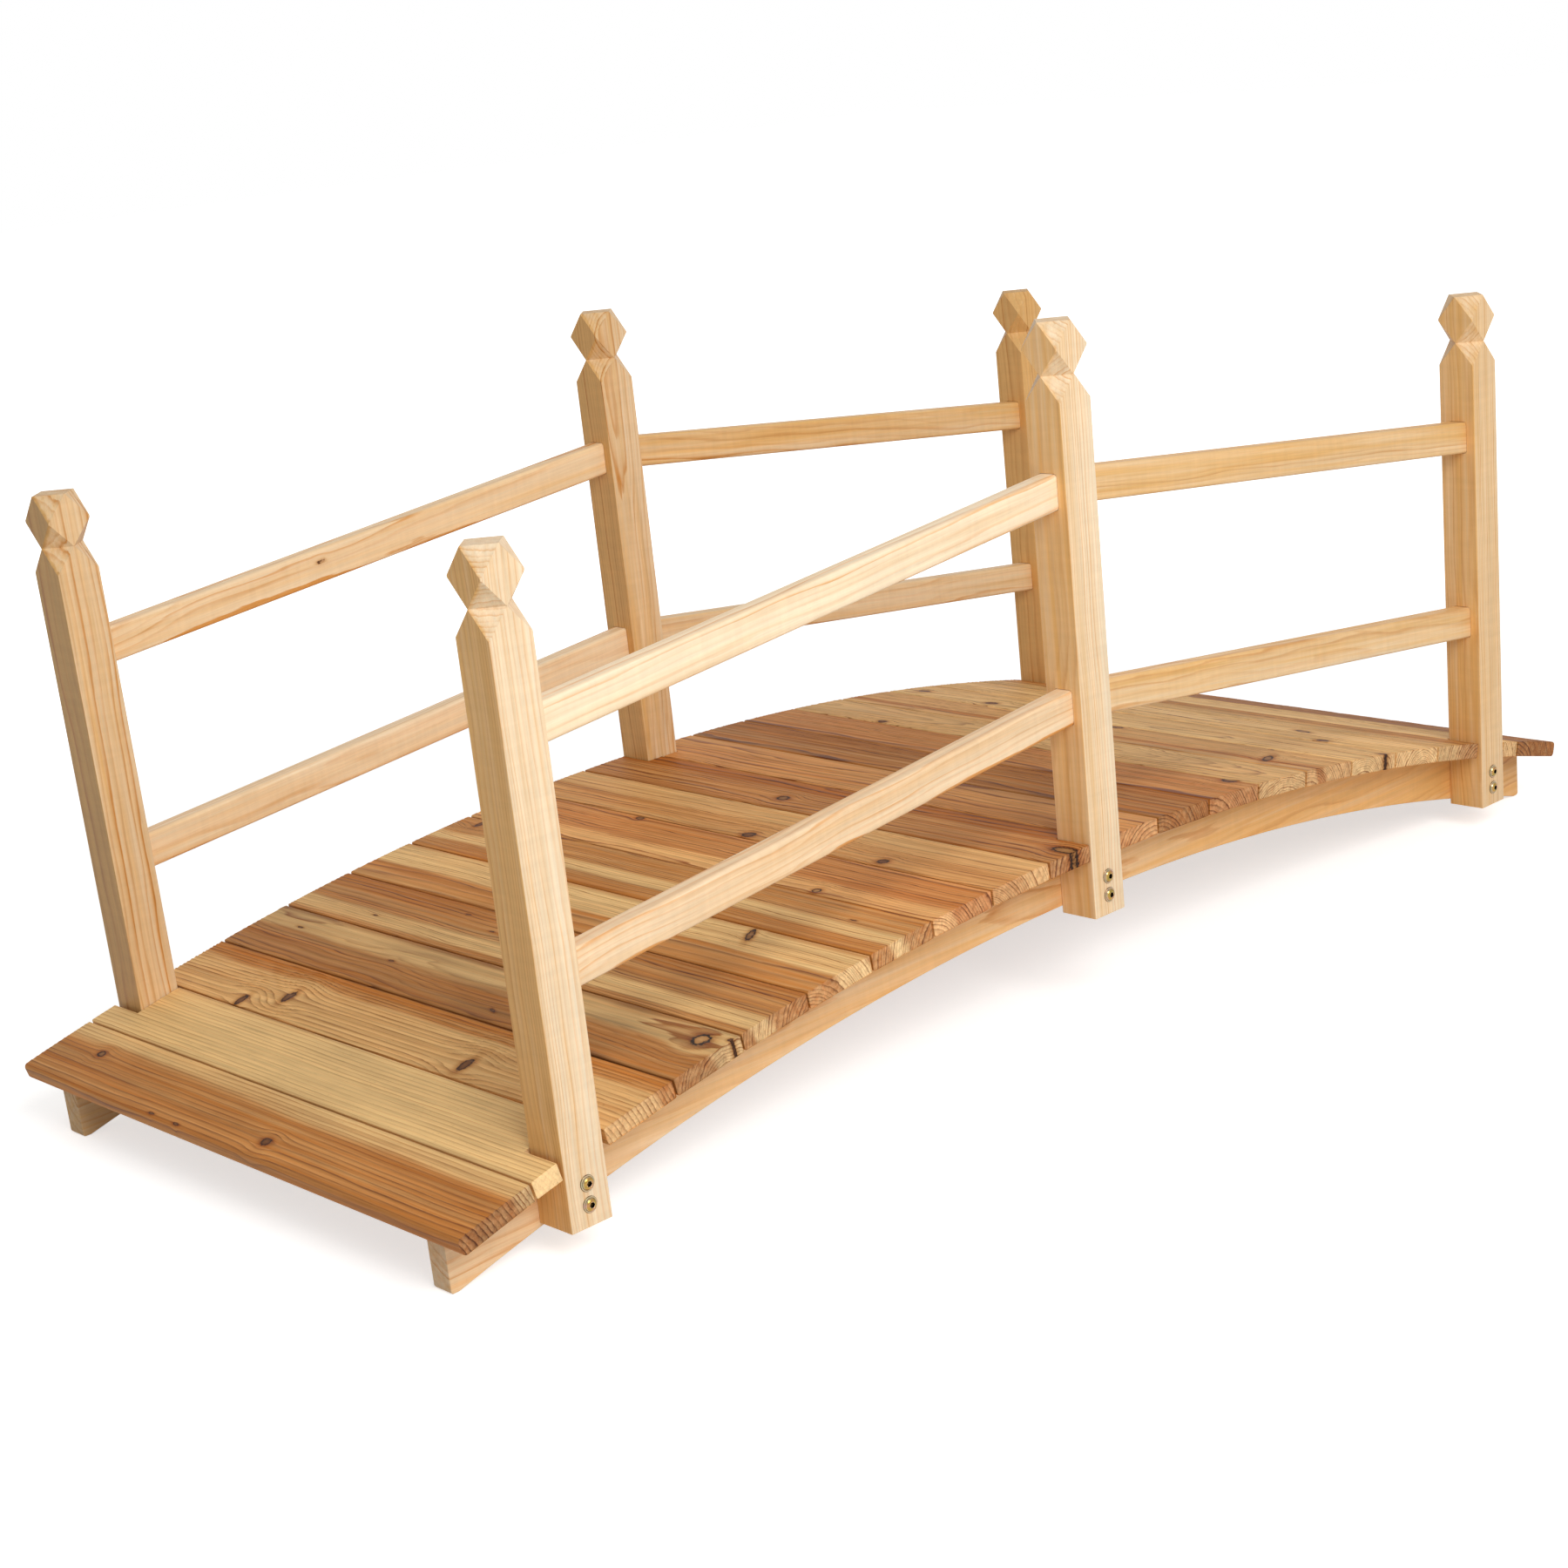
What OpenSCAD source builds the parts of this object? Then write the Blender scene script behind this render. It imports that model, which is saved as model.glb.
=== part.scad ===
// Arched garden footbridge in planed softwood.
// Two sawn arched stringers carry a deck of cross planks. Six posts are bolted to the
// stringers, rise through notches in the deck edge and house the ends of sloping rails.
// Millimetres, +Z up, X along the walk, Y across it, Z = 0 under the stringers' feet.
// Near is the -Y side and left is the -X end.

/* [Arch] */
// Radius of the stringers' upper edge, on which the planks lie
arch_r = 2782; // [2500:2:3300]
// Depth of a stringer, measured along the radius
stringer_h = 48.5; // [42:0.5:60]
// Thickness of a stringer
stringer_t = 22; // [18:1:30]
// How far the first and last planks reach past the stringers' upright end cuts
nose = 11.5; // [6:0.5:24]
// Length of the level foot under each end of a stringer
foot_len = 8; // [6:0.5:14]
// Eased corner under each end of a stringer
foot_ease = 2; // [1:0.5:4]

/* [Deck] */
// Number of planks
plank_count = 20; // [20:2:20]
// Width of a plank
plank_w = 73; // [70:0.2:76]
// Gap between planks where they lie on the stringers
plank_gap = 1.5; // [1:0.1:3]
// Thickness of a plank
plank_t = 16; // [12:0.5:22]
// Length of a plank, across the walk
deck_w = 644; // [560:2:760]
// Radius on the long edges of a plank
plank_ease = 1.5; // [0.5:0.25:3]
// Radius on the leading edge of the first plank and the trailing edge of the last
nose_ease = 4.5; // [1.5:0.25:7]
// Room around a post in its notch
notch_gap = 1; // [0.5:0.25:2]
// Narrowest strip of plank left standing beside a notch
strip_min = 6; // [4:1:8]

/* [Posts] */
// Width of the square posts
post_w = 40; // [36:1:44]
// Height of a post from its cut foot to the top of its finial
post_h = 527.5; // [480:0.5:600]
// Height of each of the three sloping bands that shape the finial
finial_step = 22.6; // [18:0.2:26]
// Distance from a stringer's end cut to the centre of its end post
post_inset = 109; // [100:1:116]
// How far the posts' outer faces stand out past the deck's edge
post_proud = 1; // [0:0.5:4]
// How far the end posts hang below the stringers' lower edge
end_drop = 0.5; // [0:0.5:4]
// How far the middle posts hang below the stringers' lower edge
mid_drop = 6; // [0:0.5:8]
// Radius on the upright edges of a post
post_ease = 1; // [0.5:0.25:2]

/* [Rails] */
// Thickness of a rail
rail_t = 20; // [16:1:24]
// Depth of a rail
rail_h = 31; // [24:1:36]
// Height of the lower rails above the feet of the posts
rail_low = 196.5; // [160:0.5:230]
// Height of the upper rails above the feet of the posts
rail_high = 386.5; // [340:0.5:410]
// Depth of the mortises that take the rails' ends
mortise_depth = 12; // [8:0.5:15]
// Room around a rail in its mortise
mortise_gap = 0.4; // [0.2:0.1:0.8]
// Radius on the long edges of a rail
rail_ease = 3; // [1:0.5:4]

/* [Bolts] */
// Diameter of the bolts' shanks
bolt_d = 6; // [5:0.5:7]
// Diameter of the domed heads
head_d = 13.6; // [12:0.2:15]
// Height of the domed heads
head_h = 3.2; // [2.4:0.2:4]
// Size of the hex socket across its flats
socket_af = 4; // [3:0.5:5]
// Height of the lower bolt above the foot of its post
bolt_low = 18; // [15:0.5:20]
// Distance between the two bolts of a post
bolt_pitch = 17.6; // [16:0.2:20]
// Room around a shank in its bore
bore_gap = 0.5; // [0.3:0.1:1]
// Size of a nut across its flats
nut_af = 10; // [9:0.5:11]
// Thickness of a nut with its flange
nut_h = 6; // [5:0.5:8]
// Diameter of a nut's flange
flange_d = 14; // [13:0.5:15]
// Thread that stands out past a nut
bolt_tail = 3; // [1:0.5:5]

/* [Hidden] */
$fn = 48;
slip = 0.25;
over = 1;

// The planks share the arch out evenly, and the last one settles how long the deck is.
plank_mid_r = arch_r + plank_t / 2;
plank_step = (plank_w + plank_gap) / arch_r * 180 / PI;
plank_mid = (plank_count + 1) / 2;
last_angle = (plank_count - plank_mid) * plank_step;
deck_half = plank_mid_r * sin(last_angle) + plank_w / 2 * cos(last_angle);

// Stringers end under the last planks, and the posts stand a set distance in from their ends.
stringer_len = 2 * (deck_half - nose);
post_x = stringer_len / 2 - post_inset;
post_y = deck_w / 2 + post_proud - post_w / 2;
stringer_y = post_y - post_w / 2 - stringer_t / 2;

// The foot settles the height of the arch's centre: the lower arc meets Z = 0 where the foot begins.
low_r = arch_r - stringer_h;
arch_z = -sqrt(pow(low_r, 2) - pow(stringer_len / 2 - foot_len, 2));

// The feet of the posts follow the arch, and the rails rise by the same amount.
end_foot = arch_z + sqrt(pow(low_r, 2) - pow(post_x, 2)) - end_drop;
mid_foot = arch_z + low_r - mid_drop;
rail_slope = atan((mid_foot - end_foot) / post_x);

bolt_heights = [bolt_low, bolt_low + bolt_pitch];

// Planks that were sawn from pale sapwood; the others hold brown heartwood.
pale_planks = [2, 14, 16, 17, 19];

side_names = ["near", "far"];
place_names = ["left", "middle", "right"];
bay_names = ["left", "right"];
level_names = ["lower", "upper"];
rail_levels = [rail_low, rail_high];

pale_pine = "#E6C68F";
deck_brown = "#B98450";
deck_cream = "#DDBC86";
yellow_zinc = "#C9A95A";

function side_y(side) = side == 0 ? -1 : 1;
function place_x(place) = (place - 1) * post_x;
function post_foot(place) = place == 1 ? mid_foot : end_foot;
function plank_angle(i) = (i - plank_mid) * plank_step;
function plank_name(i) = str("plank_", i < 10 ? "0" : "", i);
function post_name(side, place) = str("post_", side_names[side], "_", place_names[place]);
function rail_name(side, bay, level) =
    str("rail_", side_names[side], "_", bay_names[bay], "_", level_names[level]);

// A rectangle with its four corners rounded.
module eased_rect(w, h, r) {
    square([w - 2 * r, h], center = true);
    square([w, h - 2 * r], center = true);
    for (sx = [-1, 1], sy = [-1, 1])
        translate([sx * (w / 2 - r), sy * (h / 2 - r)])
            circle(r);
}

// Every bolt of one side: its children stand at the post's outer face, with +Z pointing outwards.
module at_bolts(side) {
    for (place = [0 : 2], h = bolt_heights)
        translate([place_x(place), side_y(side) * (post_y + post_w / 2), post_foot(place) + h])
            rotate([-90 * side_y(side), 0, 0])
                children();
}

// Bores for the bolts, through the posts and the stringer.
module bolt_bores(side) {
    at_bolts(side)
        translate([0, 0, -post_w - stringer_t - over])
            cylinder(d = bolt_d + 2 * bore_gap, h = post_w + stringer_t + 2 * over);
}

// An arched beam sawn from one board: two arcs about one centre, upright ends and level feet.
module stringer(side) {
    half = stringer_len / 2;
    color(pale_pine)
        difference() {
            translate([0, side_y(side) * stringer_y, 0])
                rotate([90, 0, 0])
                    linear_extrude(height = stringer_t, center = true)
                        difference() {
                            intersection() {
                                translate([0, arch_z]) circle(arch_r);
                                translate([-half, 0]) square([stringer_len, arch_r]);
                            }
                            translate([0, arch_z]) circle(low_r);
                            for (end = [-1, 1])
                                polygon([
                                    [end * (half - foot_ease), 0],
                                    [end * (half + over), foot_ease + over],
                                    [end * (half + over), -over],
                                    [end * (half - foot_ease), -over]
                                ]);
                        }
            bolt_bores(side);
        }
}

// Where an upright face at x cuts the middle of a plank that lies at an angle, across the plank.
function across_plank(x, angle) = x / cos(angle) - plank_mid_r * tan(angle);

// The notch that lets a post through: square to the plank, and open to its long edge
// where only a weak strip would be left.
module notch(place, side, angle) {
    lean = plank_t / 2 * abs(tan(angle));
    reach = post_w / 2 + notch_gap;
    from = across_plank(place_x(place) - reach, angle) - lean;
    to = across_plank(place_x(place) + reach, angle) + lean;
    edge = plank_w / 2;
    low = from < strip_min - edge ? -edge - over : from;
    high = to > edge - strip_min ? edge + over : to;
    inner = post_y - reach;
    if (from < edge && to > -edge)
        translate([low, side_y(side) > 0 ? inner : -deck_w, -plank_t])
            cube([high - low, deck_w - inner, 2 * plank_t]);
}

// The section of a plank, with its own radius on each long edge.
module plank_section(left_r, right_r) {
    translate([(left_r - right_r) / 2, 0])
        square([plank_w - left_r - right_r, plank_t], center = true);
    for (edge = [[-1, left_r], [1, right_r]])
        translate([edge[0] * (plank_w / 2 - edge[1]), 0]) {
            square([2 * edge[1], plank_t - 2 * edge[1]], center = true);
            for (face = [-1, 1])
                translate([0, face * (plank_t / 2 - edge[1])])
                    circle(edge[1]);
        }
}

// A deck board, lying flat on the stringers at its own place along the arch.
module plank(i) {
    angle = plank_angle(i);
    color(len(search(i, pale_planks)) > 0 ? deck_cream : deck_brown)
        translate([0, 0, arch_z])
            rotate([0, angle, 0])
                translate([0, 0, plank_mid_r])
                    difference() {
                        rotate([90, 0, 0])
                            linear_extrude(height = deck_w, center = true)
                                plank_section(i == 1 ? nose_ease : plank_ease,
                                              i == plank_count ? nose_ease : plank_ease);
                        for (place = [0 : 2], side = [0, 1])
                            notch(place, side, angle);
                    }
}

// The saw cuts across one corner of a post: a V that sinks to the middle of the faces at the
// neck, and a slope that does the same at the top.
module finial_cuts() {
    corner = post_w / sqrt(2);
    deep = corner / 2;
    wide = 2 * corner;
    flare = (wide - deep) / (corner - deep) * finial_step;
    neck = post_h - 2 * finial_step;
    rotate([90, 0, 0])
        linear_extrude(height = 2 * post_w, center = true) {
            polygon([[deep, neck], [wide, neck + flare], [wide, neck - flare]]);
            polygon([[deep, post_h], [wide, post_h - flare], [wide, post_h + over], [deep, post_h + over]]);
        }
}

// A straight bar along a rail's line, as long as the bay is between the posts' centres.
module rail_line(side, bay, level) {
    way = 2 * bay - 1;
    translate([way * post_x / 2, side_y(side) * post_y, (end_foot + mid_foot) / 2 + rail_levels[level]])
        rotate([0, way * rail_slope, 0])
            rotate([90, 0, 90])
                linear_extrude(height = post_x + post_w, center = true)
                    children();
}

// The upright slice of a bay that reaches a given depth into the posts at its ends.
module bay_slice(bay, depth) {
    length = post_x - post_w + 2 * depth;
    translate([(2 * bay - 1) * post_x / 2 - length / 2, -2 * post_y, 0])
        cube([length, 4 * post_y, 2 * post_h]);
}

// The mortise of one rail, a little larger than the rail all round.
module mortise(side, bay, level) {
    intersection() {
        rail_line(side, bay, level)
            eased_rect(rail_t + 2 * mortise_gap, rail_h + 2 * mortise_gap, rail_ease + mortise_gap);
        bay_slice(bay, mortise_depth + mortise_gap);
    }
}

// A square post with a faceted ball for a finial.
module post(side, place) {
    color(pale_pine)
        difference() {
            translate([place_x(place), side_y(side) * post_y, post_foot(place)])
                difference() {
                    linear_extrude(height = post_h)
                        eased_rect(post_w, post_w, post_ease);
                    for (k = [0 : 3])
                        rotate(45 + 90 * k)
                            finial_cuts();
                }
            for (bay = [0, 1], level = [0, 1])
                if (place == 1 || place == 2 * bay)
                    mortise(side, bay, level);
            bolt_bores(side);
        }
}

// A rail between two posts, its ends cut upright inside the mortises.
module rail(side, bay, level) {
    color(pale_pine)
        intersection() {
            rail_line(side, bay, level)
                eased_rect(rail_t, rail_h, rail_ease);
            bay_slice(bay, mortise_depth);
        }
}

// A bolt: a domed head on a short rim, a hex socket and a plain shank.
module bolt() {
    rim = head_h / 4;
    rise = head_h - rim;
    dome_r = (pow(head_d / 2, 2) + pow(rise, 2)) / (2 * rise);
    difference() {
        union() {
            intersection() {
                cylinder(d = head_d, h = head_h);
                translate([0, 0, head_h - dome_r]) sphere(dome_r);
            }
            translate([0, 0, -post_w - stringer_t - nut_h - bolt_tail])
                cylinder(d = bolt_d, h = post_w + stringer_t + nut_h + bolt_tail + rim);
        }
        translate([0, 0, head_h * 0.3])
            cylinder(d = socket_af / cos(30), h = head_h, $fn = 6);
    }
}

// A hex nut with a flange, drawn up against the inner face of the stringer.
module nut() {
    translate([0, 0, -post_w - stringer_t - nut_h])
        difference() {
            union() {
                cylinder(d = nut_af / cos(30), h = nut_h, $fn = 6);
                translate([0, 0, nut_h * 0.75]) cylinder(d = flange_d, h = nut_h * 0.25);
            }
            translate([0, 0, -over]) cylinder(d = bolt_d + 2 * slip, h = nut_h + 2 * over);
        }
}

module bolts(side) {
    color(yellow_zinc) at_bolts(side) bolt();
}

module nuts(side) {
    color(yellow_zinc) at_bolts(side) nut();
}

for (side = [0, 1]) {
    stringer(side);
    bolts(side);
    nuts(side);
    for (place = [0 : 2])
        post(side, place);
    for (bay = [0, 1], level = [0, 1])
        rail(side, bay, level);
}
for (i = [1 : plank_count])
    plank(i);
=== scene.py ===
import math
import bmesh
import bpy
import numpy as np
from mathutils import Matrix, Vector


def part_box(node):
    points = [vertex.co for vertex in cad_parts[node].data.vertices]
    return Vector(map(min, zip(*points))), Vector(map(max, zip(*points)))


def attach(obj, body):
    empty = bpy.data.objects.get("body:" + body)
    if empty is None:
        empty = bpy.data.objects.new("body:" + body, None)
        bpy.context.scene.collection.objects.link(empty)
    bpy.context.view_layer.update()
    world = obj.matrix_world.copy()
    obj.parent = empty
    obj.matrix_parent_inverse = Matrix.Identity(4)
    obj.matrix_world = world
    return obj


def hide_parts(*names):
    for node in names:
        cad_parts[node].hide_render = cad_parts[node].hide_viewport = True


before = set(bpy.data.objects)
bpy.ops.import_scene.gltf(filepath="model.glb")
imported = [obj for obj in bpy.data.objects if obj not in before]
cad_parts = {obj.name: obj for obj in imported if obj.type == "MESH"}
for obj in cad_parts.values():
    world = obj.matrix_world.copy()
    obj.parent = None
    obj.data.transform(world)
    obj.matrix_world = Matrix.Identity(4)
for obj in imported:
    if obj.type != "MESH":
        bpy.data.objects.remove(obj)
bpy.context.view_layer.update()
scene = bpy.context.scene
mm = 0.001
print("frame loaded:", len(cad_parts), "nodes")


def linearColour(text):     # sRGB hex to the linear values that Blender works in
    parts = [int(text[i:i + 2], 16) / 255 for i in (1, 3, 5)]
    return [c / 12.92 if c < 0.04045 else ((c + 0.055) / 1.055) ** 2.4 for c in parts] + [1.0]


def addNode(tree, kind, settings=None, links=None, stops=None):
    made = tree.nodes.new(kind)
    for key, value in (settings or {}).items():
        setattr(made, key, value)
    for key, value in (links or {}).items():
        if isinstance(value, bpy.types.NodeSocket):
            tree.links.new(value, made.inputs[key])
        else:
            made.inputs[key].default_value = value
    if stops:               # a colour ramp's stops: place, colour, and cover where it matters
        ramp = made.color_ramp.elements
        while len(ramp) < len(stops):
            ramp.new(0.5)
        for stop, (place, colour, *cover) in zip(ramp, stops):
            stop.position = place
            stop.color = linearColour(colour)[:3] + (cover or [1.0])
    return made


# geometry shared with the CAD, in millimetres
bridge = {
    "archRadius": 2782.0, "stringerDepth": 48.5, "stringerThick": 22.0, "nose": 11.5, "footLength": 8.0,
    "footEase": 2.0, "plankCount": 20, "plankWidth": 73.0, "plankGap": 1.5, "plankThick": 16.0,
    "deckWidth": 644.0, "notchGap": 1.0, "stripMin": 6.0, "postWidth": 40.0, "postInset": 109.0,
    "postProud": 1.0, "endDrop": 0.5, "midDrop": 6.0, "railLow": 196.5, "railHigh": 386.5,
    "railThick": 20.0, "railDepth": 31.0, "mortiseDepth": 12.0, "boltLow": 18.0, "boltPitch": 17.6,
}
plankRadius = bridge["archRadius"] + bridge["plankThick"] / 2
plankStep = (bridge["plankWidth"] + bridge["plankGap"]) / bridge["archRadius"]
lastAngle = (bridge["plankCount"] - 1) / 2 * plankStep
deckHalf = plankRadius * math.sin(lastAngle) + bridge["plankWidth"] / 2 * math.cos(lastAngle)
stringerHalf = deckHalf - bridge["nose"]
postX = stringerHalf - bridge["postInset"]
postY = bridge["deckWidth"] / 2 + bridge["postProud"] - bridge["postWidth"] / 2
stringerY = postY - bridge["postWidth"] / 2 - bridge["stringerThick"] / 2
lowRadius = bridge["archRadius"] - bridge["stringerDepth"]
archHeight = -math.sqrt(lowRadius ** 2 - (stringerHalf - bridge["footLength"]) ** 2)
endFoot = archHeight + math.sqrt(lowRadius ** 2 - postX ** 2) - bridge["endDrop"]
midFoot = archHeight + lowRadius - bridge["midDrop"]
railSlope = math.atan((midFoot - endFoot) / postX)
arrisSteps = np.array([0.27, 0.58, 1.0])        # lattice lines over an eased arris, in shares of its radius


def easedLines(half, ease, step):       # lattice lines across a board, close together over the eased arris
    flat = np.linspace(-half + ease, half - ease, max(2, int(round(2 * (half - ease) / step)) + 1))
    edge = half - ease + ease * arrisSteps
    return np.concatenate([-edge[::-1], flat, edge])


def withLines(lines, extra):            # the lattice also gets the lines that a saw cut falls on
    if not len(extra):
        return np.unique(lines)
    tooNear = 0.5
    keep = np.abs(lines[:, None] - np.array(extra)[None, :]).min(1) > tooNear
    keep[[0, -1]] = True
    return np.unique(np.concatenate([lines[keep], np.array(extra)]))


def latticeSkin(xs, ys, zs, keep):      # the outer skin of the cells that are kept
    size = (len(xs), len(ys), len(zs))
    padded = np.pad(keep, 1)
    quads = []
    for axis in range(3):
        for way in (0, 1):
            beside = np.roll(padded, 1 - 2 * way, axis)[1:-1, 1:-1, 1:-1]
            corner = np.stack(np.nonzero(keep & ~beside), 1)
            corner[:, axis] += way
            stepB = np.eye(3, dtype=int)[(axis + 1) % 3]
            stepC = np.eye(3, dtype=int)[(axis + 2) % 3]
            quad = np.stack([corner, corner + stepB, corner + stepB + stepC, corner + stepC], 1)
            quads.append(quad if way else quad[:, ::-1])
    quads = np.concatenate(quads)
    flat = (quads[..., 0] * size[1] + quads[..., 1]) * size[2] + quads[..., 2]
    used, index = np.unique(flat, return_inverse=True)
    k = used % size[2]
    j = used // size[2] % size[1]
    i = used // (size[1] * size[2])
    return np.stack([xs[i], ys[j], zs[k]], 1), index.reshape(flat.shape)


def easeEdges(points, half, ease):      # rounds the arrises of a box of half sizes by the given radii
    half = np.array(half)
    ease = np.array(ease)
    core = np.clip(points, -half + ease, half - ease)
    out = (points - core) / ease
    length = np.maximum(np.linalg.norm(out, axis=1, keepdims=True), 1.0)
    atEdge = (np.abs(out) > 0.999).any(1, keepdims=True)
    return np.where(atEdge, core + out / length * ease, points)


waver = {"octaves": 3, "finer": 1.9, "weaker": 1.7, "most": 1.9}


def drift(x, seed, wave):               # slow seeded waver, about -1 to 1
    rng = np.random.default_rng(seed)
    total = np.zeros(len(x))
    for octave in range(waver["octaves"]):
        phase = rng.uniform(0, 2 * math.pi)
        total += np.sin(x * 2 * math.pi * waver["finer"] ** octave / wave + phase) / waver["weaker"] ** octave
    return total / waver["most"]


# the knots of each kind: length over width, and how dark the heart of the knot is
knotKinds = {
    "black": {"long": 1.15, "dark": 1.0},
    "brown": {"long": 1.3, "dark": 0.65},
    "halo": {"long": 0.55, "dark": 0.95},
    "ring": {"long": 1.1, "dark": 0.0},
    "dash": {"long": 3.6, "dark": 0.9},
    "spike": {"long": 3.0, "dark": 0.6},
    "faint": {"long": 2.2, "dark": 0.35},
}

# how the trees grew: sizes in mm, each wander with the length of its wave
growth = {"pithAcross": (2.6, 420), "pithDeep": (1.6, 520), "ringWaver": (0.5, 170), "bandWaver": (1.8, 360),
          "bandTilt": 0.35, "fatYears": (3.4, 11), "thinYears": (1.5, 4.7), "knotGrip": 0.85, "gripLong": 1.5,
          "gripWide": 1.3, "knotReach": 3.0, "firstRing": 40}


# The growth of one board, in its own along, across and deep millimetres: rings about a pith that
# wanders, bent aside round each knot, with heartwood and sapwood laid in bands across the board.
def growBoard(local, look, seed):
    along, across, deep = local.T
    bent = across.copy()
    knotAt = np.full(len(along), growth["knotReach"])
    knotDark = np.zeros(len(along))
    for place, side, width, kind, *turn in look.get("knots", []):
        knot = knotKinds[kind]
        da = along - place
        db = across - side
        angle = math.radians(turn[0] if turn else 0.0)
        ra = da * math.cos(angle) + db * math.sin(angle)
        rb = db * math.cos(angle) - da * math.sin(angle)
        reach = np.hypot(ra / (knot["long"] * width / 2), rb / (width / 2))
        near = (da / (growth["gripLong"] * width)) ** 2 + (db / (growth["gripWide"] * width)) ** 2
        bent -= db * growth["knotGrip"] * np.exp(-near)
        knotDark[reach < knotAt] = knot["dark"]
        knotAt = np.minimum(knotAt, reach)
    pithAcross, pithDeep = look["pith"]
    leanAcross, leanDeep = look.get("lean", (0.0, 0.0))
    sway = look.get("sway", 1.0)
    size, wave = growth["pithAcross"]
    pa = pithAcross + leanAcross * along + size * sway * drift(along, seed + 11, wave)
    size, wave = growth["pithDeep"]
    pd = pithDeep + leanDeep * along + size * sway * drift(along, seed + 23, wave)
    radius = np.hypot(bent - pa, deep - pd)
    size, wave = growth["ringWaver"]
    radius += size * sway * drift(along + 5 * across, seed + 31, wave)
    uneven = 1 - look.get("even", 0.0)
    fat, fatSpan = growth["fatYears"]
    thin, thinSpan = growth["thinYears"]
    radius += uneven * (fat * np.sin(radius / fatSpan + seed) + thin * np.sin(radius / thinSpan + 2 * seed))
    places = [stop[0] for stop in look["heart"]]
    shares = [stop[1] for stop in look["heart"]]
    size, wave = growth["bandWaver"]
    band = bent + growth["bandTilt"] * deep + size * drift(along, seed + 47, wave)
    return {
        "rings": radius / look["ringGap"] + growth["firstRing"],
        "heart": np.interp(band, places, shares),
        "knot": knotAt,
        "knotDark": knotDark,
        "tone": np.full(len(along), 1.0 + look.get("tone", 0.0)),
        "red": np.full(len(along), look.get("red", 0.0)),
        "even": np.full(len(along), look.get("even", 0.0)),
        "lines": np.full(len(along), look.get("lines", 1.0)),
    }


boardShift = np.array([137.0, 61.0, 29.0])      # each board gets its own stretch of the pattern
boardSharp = math.radians(38)


def finishBoard(name, mesh, local, fields, alongAxis, seed, finish):
    for key, values in fields.items():
        mesh.attributes.new(key, "FLOAT", "POINT").data.foreach_set("value", values.astype(np.float32))
    grain = (local + boardShift * seed).astype(np.float32)
    mesh.attributes.new("grainCo", "FLOAT_VECTOR", "POINT").data.foreach_set("vector", grain.ravel())
    normals = np.empty(len(mesh.polygons) * 3, dtype=np.float32)
    mesh.polygons.foreach_get("normal", normals)
    cut = np.abs(normals.reshape(-1, 3) @ np.array(alongAxis, dtype=np.float32)) ** 2
    mesh.attributes.new("endGrain", "FLOAT", "FACE").data.foreach_set("value", cut.astype(np.float32))
    mesh.polygons.foreach_set("use_smooth", np.ones(len(mesh.polygons), dtype=bool))
    mesh.set_sharp_from_angle(angle=boardSharp)
    mesh.materials.append(finish)
    piece = bpy.data.objects.new("wood_" + name, mesh)
    scene.collection.objects.link(piece)
    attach(piece, "root")
    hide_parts(name)


def newMesh(name, points, faces):       # points in millimetres
    mesh = bpy.data.meshes.new(name)
    mesh.from_pydata((points * mm).tolist(), [], faces)
    mesh.update()
    return mesh


# what both softwoods share: how rare the strong years are, lines on end cuts, knots, relief and gloss
woodSurface = {"rareYears": 1.6, "endLines": 0.4, "knotSink": -0.3, "bump": 0.6, "lateRough": -0.1,
               "endRough": 0.15, "ior": 1.5}


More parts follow.
